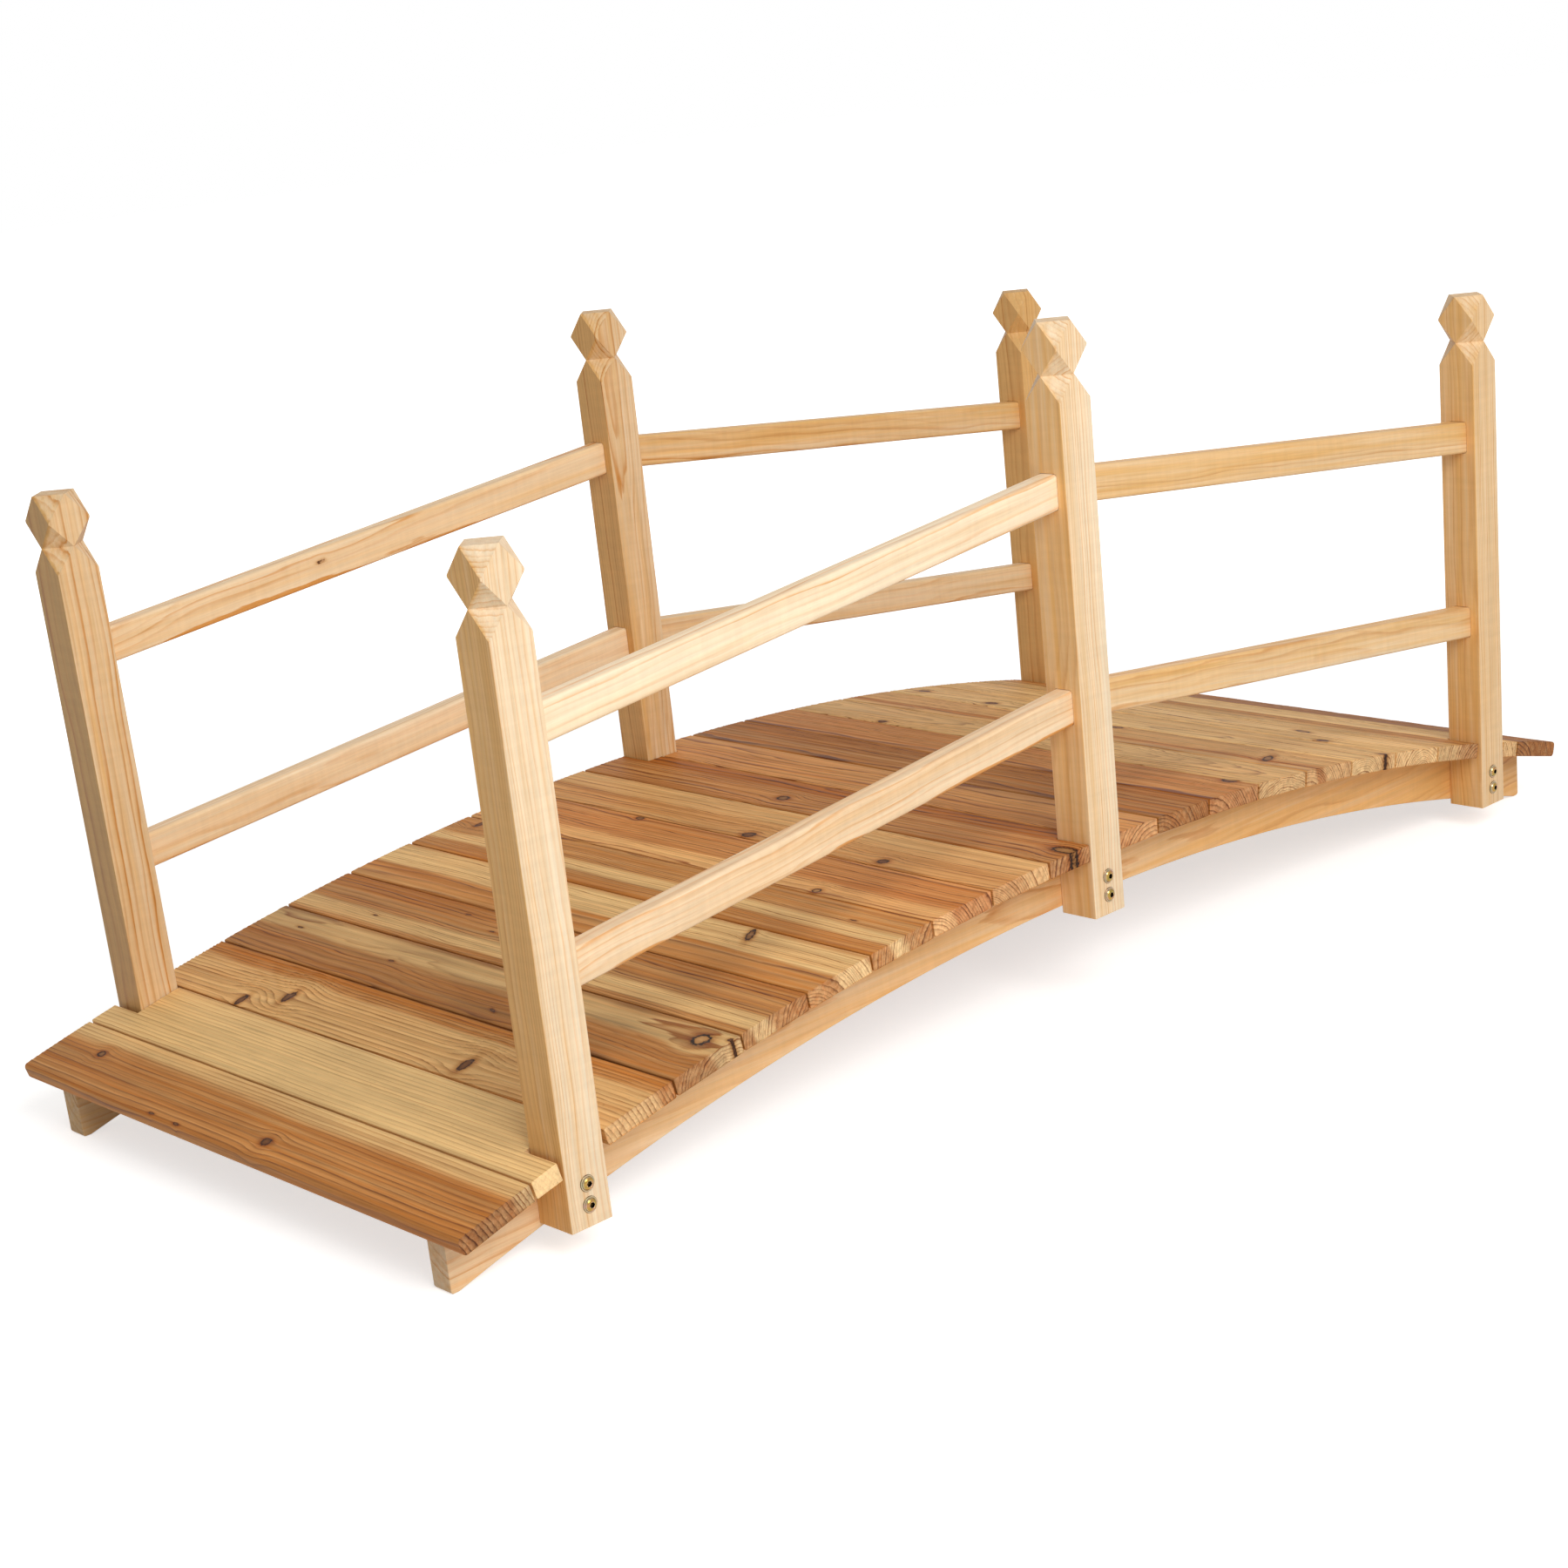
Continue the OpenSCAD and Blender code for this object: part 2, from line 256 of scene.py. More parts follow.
# One softwood finish. Rings, heartwood and knots come from the board's own growth; the nodes draw
# the fade from pale earlywood to a hard dark latewood line, and the fibres, flecks and tool marks.
def softwood(name, palette):
    material = bpy.data.materials.new(name)
    material.use_nodes = True
    tree = material.node_tree
    tree.nodes.clear()
    field = {}
    for key in ("rings", "heart", "knot", "knotDark", "tone", "red", "even", "lines", "endGrain"):
        field[key] = addNode(tree, "ShaderNodeAttribute", {"attribute_name": key}).outputs["Fac"]
    grainCo = addNode(tree, "ShaderNodeAttribute", {"attribute_name": "grainCo"}).outputs["Vector"]
    grain = {}
    for key, (length, width, detail, rough, low, high) in palette["grain"].items():
        spot = addNode(tree, "ShaderNodeVectorMath", {"operation": "MULTIPLY"},
                       {0: grainCo, 1: (1 / length, 1 / width, 1 / width)})
        noise = addNode(tree, "ShaderNodeTexNoise", None,
                        {"Vector": spot.outputs[0], "Scale": 1.0, "Detail": detail, "Roughness": rough})
        marks = addNode(tree, "ShaderNodeMapRange", None, {0: noise.outputs[0], 3: low, 4: high})
        grain[key] = marks.outputs[0]

    # where each ring's latewood line lies, and how strong that year's line is here
    count = addNode(tree, "ShaderNodeMath", {"operation": "ADD"}, {0: field["rings"], 1: grain["shake"]})
    year = addNode(tree, "ShaderNodeMath", {"operation": "FRACT"}, {0: count.outputs[0]})
    line = addNode(tree, "ShaderNodeValToRGB", None, {0: year.outputs[0]}, palette["yearStops"])
    yearNumber = addNode(tree, "ShaderNodeMath", {"operation": "FLOOR"}, {0: count.outputs[0]})
    lot = addNode(tree, "ShaderNodeTexWhiteNoise", {"noise_dimensions": "1D"}, {"W": yearNumber.outputs[0]})
    few = addNode(tree, "ShaderNodeMath", {"operation": "POWER"},
                  {0: lot.outputs[0], 1: woodSurface["rareYears"]})
    strength = addNode(tree, "ShaderNodeMath", {"operation": "MULTIPLY_ADD"},
                       {0: few.outputs[0], 1: palette["lineSpan"], 2: palette["lineLeast"]})
    strength = addNode(tree, "ShaderNodeMix", None,
                       {0: field["even"], 2: strength.outputs[0], 3: palette["lineEven"]})
    fade = addNode(tree, "ShaderNodeMath", {"operation": "MAXIMUM"},
                   {0: grain["fade"], 1: palette["lineFaint"]})
    fade = addNode(tree, "ShaderNodeMath", {"operation": "MULTIPLY_ADD"},
                   {0: field["endGrain"], 1: woodSurface["endLines"], 2: fade.outputs[0]})
    late = line.outputs[0]
    for factor in (strength.outputs[0], fade.outputs[0], field["lines"]):
        dimmed = addNode(tree, "ShaderNodeMath", {"operation": "MULTIPLY", "use_clamp": True},
                         {0: late, 1: factor})
        late = dimmed.outputs[0]

    heart = addNode(tree, "ShaderNodeMath", {"operation": "ADD", "use_clamp": True},
                    {0: field["heart"], 1: grain["streak"]})
    pair = {"data_type": "RGBA"}
    early = addNode(tree, "ShaderNodeMix", pair,
                    {0: heart.outputs[0], 6: linearColour(palette["sapEarly"]),
                     7: linearColour(palette["heartEarly"])})
    dense = addNode(tree, "ShaderNodeMix", pair,
                    {0: heart.outputs[0], 6: linearColour(palette["sapLate"]),
                     7: linearColour(palette["heartLate"])})
    colour = addNode(tree, "ShaderNodeMix", pair, {0: late, 6: early.outputs[2], 7: dense.outputs[2]})
    colour = addNode(tree, "ShaderNodeMix", {"data_type": "RGBA", "blend_type": "MULTIPLY"},
                     {0: field["red"], 6: colour.outputs[2], 7: linearColour(palette["redTint"])})
    value = addNode(tree, "ShaderNodeMath", {"operation": "MULTIPLY_ADD"},
                    {0: field["endGrain"], 1: -palette["endDarken"], 2: field["tone"]})
    for key in ("fibre", "blotch", "band", "ripple"):
        value = addNode(tree, "ShaderNodeMath", {"operation": "ADD"}, {0: value.outputs[0], 1: grain[key]})
    dull = addNode(tree, "ShaderNodeMath", {"operation": "MULTIPLY_ADD"},       # cut fibre ends scatter white
                   {0: field["endGrain"], 1: -palette["endDull"], 2: 1.0})
    colour = addNode(tree, "ShaderNodeHueSaturation", None,
                     {"Saturation": dull.outputs[0], "Value": value.outputs[0], "Color": colour.outputs[2]})

    # resin flecks, then the knots: a stain round them, a dark or ringed heart
    fleck = addNode(tree, "ShaderNodeMath", {"operation": "MAXIMUM"}, {0: grain["fleck"], 1: 0.0})
    colour = addNode(tree, "ShaderNodeMix", pair,
                     {0: fleck.outputs[0], 6: colour.outputs[0], 7: linearColour(palette["heartLate"])})
    ragged = addNode(tree, "ShaderNodeMath", {"operation": "ADD"}, {0: field["knot"], 1: grain["ragged"]})
    spread = addNode(tree, "ShaderNodeMath", {"operation": "DIVIDE"},
                     {0: ragged.outputs[0], 1: growth["knotReach"]})
    stain = addNode(tree, "ShaderNodeValToRGB", None, {0: spread.outputs[0]}, palette["stainStops"])
    colour = addNode(tree, "ShaderNodeMix", {"data_type": "RGBA", "blend_type": "MULTIPLY"},
                     {0: stain.outputs[1], 6: colour.outputs[2], 7: stain.outputs[0]})
    core = addNode(tree, "ShaderNodeValToRGB", None, {0: spread.outputs[0]}, palette["knotStops"])
    ringed = addNode(tree, "ShaderNodeValToRGB", None, {0: spread.outputs[0]}, palette["ringStops"])
    knotColour = addNode(tree, "ShaderNodeMix", pair,
                         {0: field["knotDark"], 6: ringed.outputs[0], 7: core.outputs[0]})
    colour = addNode(tree, "ShaderNodeMix", pair,
                     {0: core.outputs[1], 6: colour.outputs[2], 7: knotColour.outputs[2]})

    height = addNode(tree, "ShaderNodeMath", {"operation": "MULTIPLY_ADD"},
                     {0: late, 1: palette["ridge"], 2: grain["fibre"]})
    height = addNode(tree, "ShaderNodeMath", {"operation": "MULTIPLY_ADD"},
                     {0: core.outputs[1], 1: woodSurface["knotSink"], 2: height.outputs[0]})
    bump = addNode(tree, "ShaderNodeBump", None,
                   {"Strength": woodSurface["bump"], "Distance": palette["reliefMm"] * mm,
                    "Height": height.outputs[0]})
    rough = addNode(tree, "ShaderNodeMath", {"operation": "MULTIPLY_ADD"},
                    {0: late, 1: woodSurface["lateRough"], 2: palette["roughness"]})
    rough = addNode(tree, "ShaderNodeMath", {"operation": "MULTIPLY_ADD", "use_clamp": True},
                    {0: field["endGrain"], 1: woodSurface["endRough"], 2: rough.outputs[0]})
    shader = addNode(tree, "ShaderNodeBsdfPrincipled", None,
                     {"Base Color": colour.outputs[2], "Roughness": rough.outputs[0],
                      "Normal": bump.outputs[0], "IOR": woodSurface["ior"],
                      "Specular IOR Level": palette["gloss"]})
    addNode(tree, "ShaderNodeOutputMaterial", None, {"Surface": shader.outputs[0]})
    return material


# each grain row: length and width of its marks in mm, detail, roughness, then lowest and highest effect

# Cedar-like softwood, wire brushed and oiled: ridged dark lines on reddish brown, pale sapwood edges
deckPalette = {
    "sapEarly": "#F4CB8A", "sapLate": "#AC6C2A", "heartEarly": "#C0762C", "heartLate": "#602A06",
    "redTint": "#F4C8A0", "endDarken": 0.05, "endDull": 0.09, "ridge": 1.0, "reliefMm": 0.3,
    "roughness": 0.6, "gloss": 0.2,
    "lineSpan": 1.0, "lineLeast": 0.35, "lineEven": 0.7, "lineFaint": 0.15,
    "grain": {"shake": (70, 5, 3.0, 0.55, -0.25, 0.25), "fade": (190, 9, 3.0, 0.55, -0.4, 2.2),
              "streak": (320, 6, 3.0, 0.55, -0.5, 0.5), "blotch": (110, 30, 2.0, 0.55, -0.2, 0.2),
              "band": (420, 5, 2.0, 0.55, -0.34, 0.34), "ripple": (14, 60, 2.0, 0.55, -0.03, 0.03),
              "fibre": (60, 1.0, 4.0, 0.65, -0.32, 0.32),      # fibres are 0.03 mm wide; drawn 1 mm to show
              "fleck": (5, 0.8, 1.0, 0.55, -1.6, 0.75), "ragged": (3, 2.5, 3.0, 0.6, -0.35, 0.35)},
    "yearStops": [(0.0, "#181818"), (0.3, "#303030"), (0.6, "#707070"), (0.82, "#D8D8D8"), (0.91, "#FFFFFF"),
                  (1.0, "#181818")],
    "stainStops": [(0.0, "#B88A58", 0.8), (0.36, "#BE9460", 0.75),
                   (0.55, "#DCBE96", 0.4), (0.85, "#FFFFFF", 0.0)],
    "knotStops": [(0.0, "#7A4C28", 1.0), (0.17, "#6A3E1E", 1.0),
                  (0.29, "#24120A", 1.0), (0.36, "#4A2814", 0.0)],
    "ringStops": [(0.0, "#C79A62", 1.0), (0.19, "#B07A44", 1.0),
                  (0.24, "#1E0E06", 1.0), (0.38, "#1E0E06", 0.0)],
}
# Pine, planed and clear oiled: smooth cream boards with fine honey lines and a soft satin
pinePalette = {
    "sapEarly": "#F8E2C1", "sapLate": "#E7A75E", "heartEarly": "#EAB873", "heartLate": "#C27A2C",
    "redTint": "#FADFC2", "endDarken": 0.04, "endDull": 0.03, "ridge": 0.8, "reliefMm": 0.12,
    "roughness": 0.5, "gloss": 0.3,
    "lineSpan": 0.85, "lineLeast": 0.12, "lineEven": 0.55, "lineFaint": 0.15,
    "grain": {"shake": (70, 5, 3.0, 0.55, -0.3, 0.3), "fade": (190, 9, 3.0, 0.55, -0.4, 2.2),
              "streak": (240, 7, 3.0, 0.55, -0.65, 0.65), "blotch": (110, 30, 2.0, 0.55, -0.07, 0.07),
              "band": (420, 5, 2.0, 0.55, -0.14, 0.14), "ripple": (7, 40, 2.0, 0.55, -0.07, 0.07),
              "fibre": (60, 1.0, 4.0, 0.65, -0.14, 0.14),      # drawn 1 mm wide here too
              "fleck": (5, 0.8, 1.0, 0.55, -0.6, 0.3), "ragged": (3, 2.5, 3.0, 0.6, -0.35, 0.35)},
    "yearStops": [(0.0, "#000000"), (0.28, "#202020"), (0.6, "#8C8C8C"), (0.85, "#FFFFFF"), (0.95, "#D8D8D8"),
                  (1.0, "#000000")],
    "stainStops": [(0.0, "#B98B58", 0.7), (0.38, "#C9A070", 0.6),
                   (0.62, "#EBD3AE", 0.2), (0.9, "#FFFFFF", 0.0)],
    "knotStops": [(0.0, "#8A5A30", 1.0), (0.2, "#7A4A26", 1.0),
                  (0.31, "#4A2A14", 1.0), (0.38, "#8A5A30", 0.0)],
    "ringStops": [(0.0, "#D9AE74", 1.0), (0.22, "#C99A60", 1.0),
                  (0.27, "#6A4222", 1.0), (0.38, "#6A4222", 0.0)],
}
deckBrushed = softwood("cedar brushed and oiled", deckPalette)
pinePlaned = softwood("pine planed and oiled", pinePalette)
print("softwood finishes made")

# deck planks. heart: bands of heartwood from the plank's lower edge, mm and share; knots: place along
# the plank from its middle, across it from the same edge, width, kind, turn in degrees
planks = {
    1: {"heart": [(0, 0.85), (54, 0.8), (60, 0.2), (73, 0.05)], "ringGap": 4.4, "pith": (-170, -46),
        "sway": 0.4, "red": 0.1, "even": 0.5, "lines": 0.9, "endTone": -0.22, "endLines": 1.2,
        "knots": [(-42, 20, 10, "black"), (253, 43, 8, "brown"), (70, 3, 2.4, "dash"),
                  (110, 4, 2.4, "dash")]},
    2: {"heart": [(0, -0.3), (60, -0.25), (73, 0.1)], "ringGap": 4.0, "pith": (-170, -60), "sway": 0.3,
        "tone": 0.03, "even": 0.8, "lines": 0.75, "brush": 0.4, "endTone": 0.12, "endLines": 0.25},
    3: {"heart": [(0, 0.35), (53, 0.35), (58, 0.8), (73, 0.9)], "ringGap": 4.3, "pith": (-150, -40),
        "sway": 0.5, "tone": 0.1, "even": 0.7, "brush": 2.0,
        "knots": [(-124, 19, 19, "halo"), (149, 30, 18, "halo"), (194, 8, 16, "halo")]},
    4: {"heart": [(0, 0.8), (42, 0.8), (47, 0.15), (67, 0.1), (73, 0.6)], "ringGap": 3.6,
        "pith": (24, -30), "lean": (0.02, 0.0), "sway": 1.6, "tone": -0.19, "red": 0.08,
        "knots": [(-296, 54, 17, "ring"), (-320, 64, 5, "black"), (-73, 15, 3, "dash", 20),
                  (105, 39, 2.6, "dash"), (262, 48, 2.6, "dash")]},
    5: {"heart": [(0, 0.8), (8, 0.7), (12, 0.1), (28, 0.1), (34, 0.75), (73, 0.9)], "ringGap": 3.2,
        "pith": (52, -26), "tone": -0.08, "red": 0.08,
        "knots": [(55, 42, 2.2, "dash"), (205, 20, 2.2, "dash"), (110, 58, 2.2, "dash")]},
    6: {"heart": [(0, 0.75), (33, 0.8), (39, 0.1), (69, 0.1), (73, 0.6)], "ringGap": 3.0,
        "pith": (-40, -30), "tone": 0.08, "knots": [(-190, 60, 8, "spike", 60)]},
    7: {"heart": [(0, 0.85), (22, 0.8), (26, 0.1), (38, 0.15), (44, 0.75), (73, 0.85)], "ringGap": 3.2,
        "pith": (56, -24), "tone": 0.06, "knots": [(290, 62, 13, "halo"), (-255, 46, 2.2, "dash")]},
    8: {"heart": [(0, 0.2), (25, 0.2), (28, 0.75), (73, 0.7)], "ringGap": 3.3, "pith": (-44, -30),
        "tone": 0.17, "red": 0.4, "lines": 1.2, "knots": [(-174, 6, 9, "ring"), (139, 69, 8, "brown")]},
    9: {"heart": [(0, 0.6), (38, 0.65), (45, 0.4), (73, 0.35)], "ringGap": 2.9, "pith": (-50, -30),
        "sway": 1.3, "tone": 0.1, "red": 0.1, "lines": 1.05,
        "knots": [(-179, 10, 11, "black"), (-4, 7, 13, "black")]},
    10: {"heart": [(0, 0.7), (46, 0.75), (56, 1.1), (73, 1.0)], "ringGap": 3.6, "pith": (40, -24),
         "tone": -0.08, "red": 0.3, "lines": 1.15,
         "knots": [(48, 26, 12, "brown"), (-312, 32, 15, "faint")]},
    11: {"heart": [(0, 0.7), (40, 0.6), (73, 0.5)], "ringGap": 3.8, "pith": (30, -30), "tone": 0.1,
         "red": 0.35, "lines": 1.15},
    12: {"heart": [(0, 0.8), (20, 1.0), (36, 0.85), (73, 1.05)], "ringGap": 3.4, "pith": (-36, -26),
         "tone": -0.13, "lines": 1.15},
    13: {"heart": [(0, 0.75), (73, 0.7)], "ringGap": 3.6, "pith": (-40, -34), "red": 0.35, "lines": 1.15,
         "knots": [(-290, 70, 15, "black")]},
    14: {"heart": [(0, 0.35), (73, 0.3)], "ringGap": 3.4, "pith": (6, -30), "lean": (0.01, 0.045),
         "sway": 2.0, "lines": 1.15, "knots": [(189, 6, 10, "black")]},
    15: {"heart": [(0, 0.35), (14, 0.35), (18, 0.85), (26, 0.85), (31, 0.3), (73, 0.35)], "ringGap": 3.2,
         "pith": (-30, -26), "red": 0.2, "lines": 1.15,
         "knots": [(-254, 27, 10, "spike", 65), (-27, 66, 11, "brown"), (-227, 70, 4, "black")]},
    16: {"heart": [(0, 0.15), (73, 0.3)], "ringGap": 3.3, "pith": (-16, -22), "sway": 1.3, "tone": 0.05,
         "lines": 1.15, "knots": [(180, 19, 14, "black"), (296, 31, 13, "black"), (-318, 56, 9, "black")]},
    17: {"heart": [(0, 0.25), (73, 0.2)], "ringGap": 3.3, "pith": (10, -20), "sway": 1.5, "tone": 0.1,
         "lines": 1.15, "knots": [(-224, 8, 12, "black"), (-170, 49, 10, "faint", 15)]},
    18: {"heart": [(0, 0.25), (34, 0.3), (44, 0.75), (73, 0.8)], "ringGap": 3.0, "pith": (40, -20),
         "lines": 1.15, "knots": [(239, 49, 12, "black")]},
    19: {"heart": [(0, 0.15), (73, 0.25)], "ringGap": 2.9, "pith": (-40, -30), "tone": 0.14,
         "endLines": 1.6},
    20: {"heart": [(0, 0.9), (73, 1.0)], "ringGap": 3.0, "pith": (-40, -26), "tone": -0.14, "lines": 1.2},
}
plankShape = {"ease": 1.5, "noseEase": 4.5, "noseSteps": (1.0, 0.73, 0.42, 0.2), "endEase": 0.5,
              "stepAcross": 1.2, "stepAlong": 9.0, "stepUp": 2.2, "knotStep": 2.2, "cup": 0.25, "wear": 0.12,
              "wearWave": 90, "wearFrom": 0.97, "brushed": 0.45, "topSkin": 0.9, "sawn": 0.3, "endSkin": 0.4,
              "tornSeed": 900, "tornTone": 0.12, "endTone": 0.02, "endLines": 0.95, "knotSpan": 1.5,
              "knotMargin": 2, "cutMargin": 0.1, "slack": 0.01,
              "ridgeYear": (0, 0.3, 0.7, 0.88, 0.95, 1), "ridgeHeight": (0.1, 0.0, 0.45, 1.0, 0.9, 0.1)}
postPlaces = (-1, 0, 1)         # along the bridge, in steps of postX


def notchesOf(angle):       # the openings for the posts, in the plank's own across range
    found = []
    lean = bridge["plankThick"] / 2 * abs(math.tan(angle))
    reach = bridge["postWidth"] / 2 + bridge["notchGap"]
    edge = bridge["plankWidth"] / 2
    for place in postPlaces:
        start = (place * postX - reach) / math.cos(angle) - plankRadius * math.tan(angle) - lean
        end = (place * postX + reach) / math.cos(angle) - plankRadius * math.tan(angle) + lean
        if start < edge and end > -edge:
            start = -edge if start < bridge["stripMin"] - edge else start
            end = edge if end > edge - bridge["stripMin"] else end
            found.append((start, end))
    return found


for number, look in planks.items():
    endPlank = number in (1, bridge["plankCount"])
    noseSteps = plankShape["noseEase"] * np.array(plankShape["noseSteps"])
    angle = (number - (bridge["plankCount"] + 1) / 2) * plankStep
    half = np.array([bridge["plankWidth"], bridge["plankThick"], bridge["deckWidth"]]) / 2
    notches = notchesOf(angle)
    notchInner = postY - bridge["postWidth"] / 2 - bridge["notchGap"]
    across = easedLines(half[0], plankShape["ease"], plankShape["stepAcross"])
    if endPlank:
        side = -1 if number == 1 else 1
        across = withLines(across, side * (half[0] - noseSteps))
    inside = half[0] - plankShape["cutMargin"]
    across = withLines(across, [cut for pair in notches for cut in pair if abs(cut) < inside])
    up = easedLines(half[1], plankShape["ease"], plankShape["stepUp"])
    if endPlank:
        up = withLines(up, np.concatenate([noseSteps[:3] - half[1], half[1] - noseSteps[:3]]))
    along = easedLines(half[2], plankShape["endEase"], plankShape["stepAlong"])
    for knot in look.get("knots", []):
        span = plankShape["knotSpan"] * knot[2]
        fine = np.arange(knot[0] - span, knot[0] + span, plankShape["knotStep"])
        along = withLines(along, fine[np.abs(fine) < half[2] - plankShape["knotMargin"]])
    along = withLines(along, [-notchInner, notchInner] if notches else [])
    keep = np.ones((len(across) - 1, len(up) - 1, len(along) - 1), dtype=bool)
    midAcross = (across[1:] + across[:-1]) / 2
    midAlong = (along[1:] + along[:-1]) / 2
    for start, end in notches:
        sawn = (midAcross > start) & (midAcross < end)
        keep[np.ix_(sawn, np.ones(len(up) - 1, dtype=bool), np.abs(midAlong) > notchInner)] = False
    flat, quads = latticeSkin(across, up, along, keep)
    shaped = easeEdges(flat, half, (plankShape["ease"], plankShape["ease"], plankShape["endEase"]))
    if endPlank:
        nosed = easeEdges(flat, half, (plankShape["noseEase"], plankShape["noseEase"], plankShape["endEase"]))
        onNose = flat[:, 0] * side > half[0] - plankShape["noseEase"] - plankShape["slack"]
        shaped = np.where(onNose[:, None], nosed, shaped)
    local = np.stack([shaped[:, 2], shaped[:, 0], shaped[:, 1]], 1)
    centred = dict(look)
    centred["heart"] = [(place - half[0], share) for place, share in look["heart"]]
    centred["knots"] = [(knot[0], knot[1] - half[0]) + knot[2:] for knot in look.get("knots", [])]
    fields = growBoard(local, centred, number)
    # brushing wears the soft earlywood down between the hard lines, and the arrises are worn unevenly
    year = fields["rings"] % 1.0
    ridge = np.interp(year, plankShape["ridgeYear"], plankShape["ridgeHeight"]) - 1.0
    brushed = plankShape["brushed"] * look.get("brush", 1.0)
    onEnd = np.abs(shaped[:, 2]) > half[2] - plankShape["endSkin"]
    torn = np.random.default_rng(plankShape["tornSeed"] + number).random(len(shaped))      # torn saw cuts
    endTone = look.get("endTone", plankShape["endTone"])
    fields["tone"] += onEnd * (endTone - plankShape["tornTone"] * (torn - 0.5))
    fields["lines"] *= np.where(onEnd, look.get("endLines", plankShape["endLines"]), 1.0)
    shaped[:, 1] += brushed * ridge * (shaped[:, 1] > half[1] - plankShape["topSkin"])
    shaped[:, 2] += (brushed * ridge - plankShape["sawn"] * torn) * np.sign(shaped[:, 2]) * onEnd
    inward = np.clip(np.abs(shaped[:, 0]) / half[0], 0, 1)
    shaped[:, 1] -= plankShape["cup"] * inward ** 2 * (shaped[:, 1] > 0)
    wearAndPaintedShade = drift(shaped[:, 2], number * 7, plankShape["wearWave"]) + 1
    edgeWear = plankShape["wear"] * wearAndPaintedShade * (inward > plankShape["wearFrom"])
    shaped[:, 0] -= np.sign(shaped[:, 0]) * edgeWear
    x = shaped[:, 0] * math.cos(angle) + (plankRadius + shaped[:, 1]) * math.sin(angle)
    z = archHeight - shaped[:, 0] * math.sin(angle) + (plankRadius + shaped[:, 1]) * math.cos(angle)
    name = "plank_%02d" % number
    mesh = newMesh(name, np.stack([x, shaped[:, 2], z], 1), quads[:, ::-1].tolist())
    finishBoard(name, mesh, local, fields, (0, 1, 0), number, deckBrushed)
print("deck planks made:", len(planks))

# rails, planed and eased, ends cut upright inside the mortises
rails = {
    "near_left_lower": {"heart": [(-16, 0.15), (16, 0.25)], "ringGap": 6.0, "pith": (-30, -34),
                        "lean": (0.012, 0.0), "sway": 1.6, "red": 0.25, "lines": 1.3},
    "near_left_upper": {"heart": [(-16, 0.0), (16, 0.05)], "ringGap": 5.0, "pith": (60, -30),
                        "lean": (0.008, 0.0), "sway": 0.9, "tone": 0.03},
    "near_right_lower": {"heart": [(-16, 0.6), (16, 0.85)], "ringGap": 6.0, "pith": (-22, 24),
                         "lean": (0.045, 0.03), "sway": 2.0, "lines": 1.5},
    "near_right_upper": {"heart": [(-16, 0.7), (16, 0.95)], "ringGap": 4.6, "pith": (50, 34),
                         "lean": (-0.01, 0.01), "sway": 0.8, "tone": -0.03},
    "far_left_lower": {"heart": [(-16, 0.4), (16, 0.3)], "ringGap": 5.4, "pith": (16, -26),
                       "lean": (-0.02, 0.01), "sway": 1.6, "tone": 0.06, "lines": 1.3},
    "far_left_upper": {"heart": [(-16, 0.5), (16, 0.45)], "ringGap": 8.0, "pith": (-24, -22),
                       "lean": (0.06, -0.02), "sway": 1.6, "tone": 0.06, "lines": 1.6,
                       "knots": [(-60, 4, 4, "faint")]},
    "far_right_lower": {"heart": [(-16, 0.4), (16, 0.5)], "ringGap": 4.6, "pith": (-30, -36),
                        "lean": (0.015, 0.0), "sway": 1.2},
    "far_right_upper": {"heart": [(-16, 0.7), (16, 0.9)], "ringGap": 5.0, "pith": (24, -24),
                        "lean": (-0.02, 0.01), "sway": 1.6},
}
railShape = {"ease": 3.0, "endEase": 0.4, "stepAcross": 2.6, "stepAlong": 7.0}
sideOf = {"near": -1, "far": 1}
seed = 40
for key, look in rails.items():
    sideName, bayName, levelName = key.split("_")
    way = -1 if bayName == "left" else 1
    length = postX - bridge["postWidth"] + 2 * bridge["mortiseDepth"]
    half = np.array([length, bridge["railThick"], bridge["railDepth"]]) / 2
    along = easedLines(half[0], railShape["endEase"], railShape["stepAlong"])
    thick = easedLines(half[1], railShape["ease"], railShape["stepAcross"])
    depth = easedLines(half[2], railShape["ease"], railShape["stepAcross"])
    keep = np.ones((len(along) - 1, len(thick) - 1, len(depth) - 1), dtype=bool)
    flat, quads = latticeSkin(along, thick, depth, keep)
    shaped = easeEdges(flat, half, (railShape["endEase"], railShape["ease"], railShape["ease"]))
    level = bridge["railLow"] if levelName == "lower" else bridge["railHigh"]
    x = way * postX / 2 + shaped[:, 0]
    y = sideOf[sideName] * postY + shaped[:, 1]
    z = (endFoot + midFoot) / 2 + level - way * math.tan(railSlope) * shaped[:, 0]
    z += shaped[:, 2] / math.cos(railSlope)
    mesh = newMesh("rail_" + key, np.stack([x, y, z], 1), quads.tolist())
    local = np.stack([shaped[:, 0], shaped[:, 2], sideOf[sideName] * -shaped[:, 1]], 1)
    slopeAxis = (math.cos(railSlope), 0, -way * math.sin(railSlope))
    fields = growBoard(local, look, seed)
    finishBoard("rail_" + key, mesh, local, fields, slopeAxis, seed, pinePlaned)
    seed += 1
print("rails made:", len(rails))

